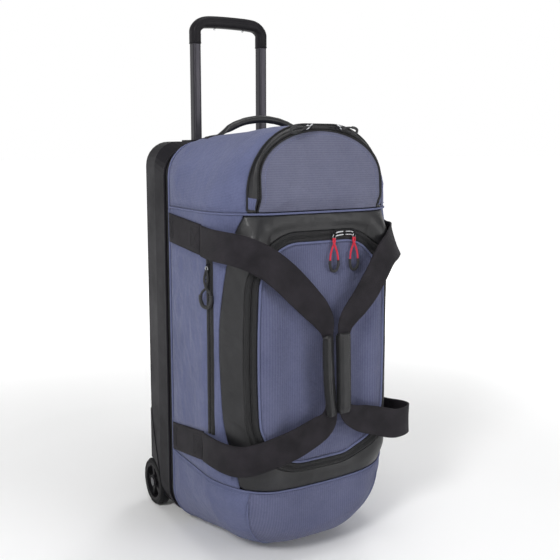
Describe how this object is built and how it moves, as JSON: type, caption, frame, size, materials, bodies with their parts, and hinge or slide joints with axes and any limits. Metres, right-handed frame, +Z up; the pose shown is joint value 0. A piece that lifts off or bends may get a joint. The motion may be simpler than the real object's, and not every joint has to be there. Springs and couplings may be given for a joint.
{
  "type": "rolling duffel bag",
  "caption": "Upright wheeled duffel bag with a moulded back tray, pull-out trolley handle, zipped fabric body, top pocket and webbing carry handles.",
  "frame": {"origin": "centre of the bounding box's footprint, on the floor the bag stands on", "axes": "+X to the right seen from the front, -Y towards the lid side, +Z up along the trolley tubes"},
  "size_m": [0.3595, 0.4245, 0.9395],
  "materials": {
    "moulded_tray": "matte, fine grain",
    "black_webbing": "woven, slight sheen",
    "blue_polyester": "woven twill with a fine rib",
    "side_polyester": "plain woven",
    "piping_cord": "smooth",
    "coated_fabric": "coated, semi-gloss",
    "lining_board": "lined board",
    "tube_metal": "dark anodised",
    "steel": "plain",
    "tyre_plastic": "matte",
    "wheel_plastic": "matte",
    "zip_tape": "woven zip tape",
    "slider_metal": "black enamel",
    "red_cord": "woven cord",
    "black_cord": "woven cord"
  },
  "bodies": {
    "bag": {"back_tray": "moulded_tray", "tray_gusset": "black_webbing", "rear_piping": "piping_cord", "trolley_bezel": "moulded_tray", "outer_tubes": "tube_metal", "tube_foot": "moulded_tray", "foot_screws": "steel", "back_lining": "lining_board", "base_board": "lining_board", "wheel_housing_left": "moulded_tray", "wheel_housing_right": "moulded_tray", "wheel_axle_left": "steel", "wheel_axle_right": "steel", "top_wall": "side_polyester", "side_panel_left": "side_polyester", "side_panel_right": "side_polyester", "bottom_wall": "side_polyester", "front_frame": "coated_fabric", "frame_zip_tape": "zip_tape", "upper_piping": "piping_cord", "lower_piping": "piping_cord", "bottom_front_panel": "blue_polyester", "pocket_gusset": "coated_fabric", "pocket_divider": "lining_board", "side_zip_tape": "zip_tape", "sewn_straps": "black_webbing", "grab_handle_tabs": "black_webbing"},
    "wheel_left": {"wheel_tyre_left": "tyre_plastic", "wheel_rim_left": "wheel_plastic", "wheel_bearing_left": "steel"},
    "wheel_right": {"wheel_tyre_right": "tyre_plastic", "wheel_rim_right": "wheel_plastic", "wheel_bearing_right": "steel"},
    "trolley": {"inner_tubes": "tube_metal", "tube_end_blocks": "moulded_tray", "trolley_grip": "moulded_tray", "button_springs": "steel"},
    "release": {"release_button": "moulded_tray", "release_rods": "steel"},
    "grab": {"grab_handle": "coated_fabric"},
    "handle_left": {"carry_strap_left": "black_webbing", "grip_sleeve_left": "coated_fabric"},
    "handle_right": {"carry_strap_right": "black_webbing", "grip_sleeve_right": "coated_fabric"},
    "lid": {"lid_panel": "blue_polyester", "lid_piping": "piping_cord", "lid_zip_tape": "zip_tape"},
    "main_slide_left": {"main_slider_left": "slider_metal"},
    "main_slide_right": {"main_slider_right": "slider_metal"},
    "main_pull_left": {"main_puller_left": "red_cord"},
    "main_pull_right": {"main_puller_right": "red_cord"},
    "flap": {"pocket_flap": "blue_polyester"},
    "pocket_slide_left": {"pocket_slider_left": "slider_metal"},
    "pocket_slide_right": {"pocket_slider_right": "slider_metal"},
    "pocket_pull_left": {"pocket_puller_left": "black_cord"},
    "pocket_pull_right": {"pocket_puller_right": "black_cord"},
    "side_slide": {"side_slider": "slider_metal"},
    "side_pull": {"side_puller": "black_cord"}
  },
  "joints": [
    {"name": "wheel_left_spin", "type": "hinge", "parent": "bag", "child": "wheel_left", "pos_m": [-0.158, 0.167, 0.045], "axis": [1, 0, 0], "continuous": true},
    {"name": "wheel_right_spin", "type": "hinge", "parent": "bag", "child": "wheel_right", "pos_m": [0.158, 0.167, 0.045], "axis": [1, 0, 0], "continuous": true},
    {"name": "trolley_slide", "type": "slide", "parent": "bag", "child": "trolley", "axis": [0, 0, 1], "range_m": [-0.176, 0.12]},
    {"name": "button_press", "type": "slide", "parent": "trolley", "child": "release", "axis": [0, 0, 1], "range_m": [-0.003, 0], "stiffness_N_per_m": 600, "springref_m": 0.004, "deforming": ["button_springs"]},
    {"name": "grab_handle_tilt", "type": "hinge", "parent": "bag", "child": "grab", "pos_m": [0, 0.025, 0.721], "axis": [1, 0, 0], "range_deg": [-40, 40]},
    {"name": "carry_handle_left_swing", "type": "hinge", "parent": "bag", "child": "handle_left", "pos_m": [-0.1741, -0.085, 0.329], "axis": [0, 0, -1], "range_deg": [0, 160]},
    {"name": "carry_handle_right_swing", "type": "hinge", "parent": "bag", "child": "handle_right", "pos_m": [0.1741, -0.085, 0.329], "axis": [0, 0, 1], "range_deg": [0, 160]},
    {"name": "lid_open", "type": "hinge", "parent": "bag", "child": "lid", "pos_m": [0, -0.1725, 0.16875], "axis": [1, 0, 0], "range_deg": [0, 48]},
    {"name": "main_slider_left_slide", "type": "slide", "parent": "lid", "child": "main_slide_left", "axis": [-1, 0, 0], "range_m": [0, 0.1]},
    {"name": "main_slider_right_slide", "type": "slide", "parent": "lid", "child": "main_slide_right", "axis": [1, 0, 0], "range_m": [0, 0.02]},
    {"name": "main_puller_left_swing", "type": "hinge", "parent": "main_slide_left", "child": "main_pull_left", "pos_m": [0.021, -0.1753, 0.55325], "axis": [-1, 0, 0], "range_deg": [0, 120]},
    {"name": "main_puller_right_swing", "type": "hinge", "parent": "main_slide_right", "child": "main_pull_right", "pos_m": [0.061, -0.1753, 0.55325], "axis": [-1, 0, 0], "range_deg": [0, 120]},
    {"name": "pocket_flap_open", "type": "hinge", "parent": "bag", "child": "flap", "pos_m": [0, -0.1725, 0.5945], "axis": [1, 0, 0], "range_deg": [0, 85]},
    {"name": "pocket_slider_left_slide", "type": "hinge", "parent": "bag", "child": "pocket_slide_left", "pos_m": [0, -0.1718, 0.56], "axis": [0, -1, 0], "range_deg": [0, 22]},
    {"name": "pocket_slider_right_slide", "type": "hinge", "parent": "bag", "child": "pocket_slide_right", "pos_m": [0, -0.1718, 0.56], "axis": [0, 1, 0], "range_deg": [0, 22]},
    {"name": "pocket_puller_left_swing", "type": "hinge", "parent": "pocket_slide_left", "child": "pocket_pull_left", "pos_m": [-0.02952, -0.1765, 0.72742], "axis": [0, -1, 0], "range_deg": [0, 90]},
    {"name": "pocket_puller_right_swing", "type": "hinge", "parent": "pocket_slide_right", "child": "pocket_pull_right", "pos_m": [0.02952, -0.1765, 0.72742], "axis": [0, 1, 0], "range_deg": [0, 90]},
    {"name": "side_slider_slide", "type": "slide", "parent": "bag", "child": "side_slide", "axis": [0, 0, -1], "range_m": [0, 0.21]},
    {"name": "side_puller_swing", "type": "hinge", "parent": "side_slide", "child": "side_pull", "pos_m": [-0.1742, -0.101, 0.506], "axis": [0, 1, 0], "range_deg": [0, 90]}
  ],
  "couplings": [
    {"joint": "carry_handle_right_swing", "follows": "carry_handle_left_swing", "ratio": 1},
    {"joint": "lid_open", "follows": "carry_handle_left_swing", "ratio": 0.3}
  ]
}
